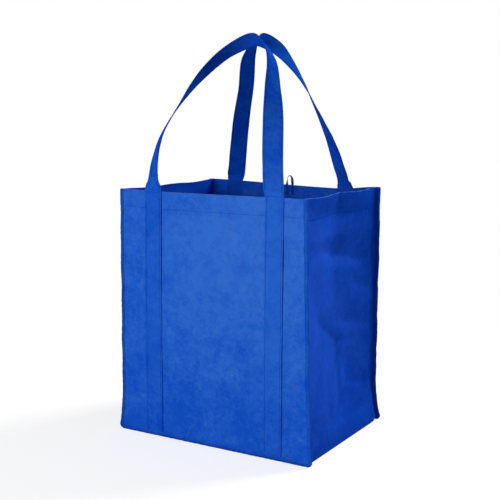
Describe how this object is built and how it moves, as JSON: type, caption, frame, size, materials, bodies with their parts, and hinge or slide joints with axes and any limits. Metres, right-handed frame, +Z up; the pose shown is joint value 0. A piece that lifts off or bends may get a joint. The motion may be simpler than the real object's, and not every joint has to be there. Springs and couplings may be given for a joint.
{
  "type": "non-woven shopping bag",
  "caption": "Open box-shaped carrier bag of non-woven cloth with bound outward seams, a hemmed rim, two long sewn strap handles, a small hang loop and a loose base board.",
  "frame": {"origin": "centre of the base, on the surface that the bag stands on", "axes": "+Z up towards the rim and handles, +X along the front panel's width, the front panel faces -Y"},
  "size_m": [0.349, 0.2685, 0.6188],
  "materials": {
    "cloth": "matt spunbond non-woven, royal blue",
    "strap": "matt spunbond non-woven, folded to several layers",
    "binding_tape": "matt spunbond non-woven tape",
    "loop_tape": "narrow woven tape",
    "board": "plain dark plastic board"
  },
  "bodies": {
    "root": {"front_panel": "cloth", "back_panel": "cloth", "side_and_base_strip": "cloth", "front_binding": "binding_tape", "back_binding": "binding_tape", "front_handle": "strap", "back_handle": "strap", "hang_loop": "loop_tape", "base_board": "board"}
  },
  "joints": []
}
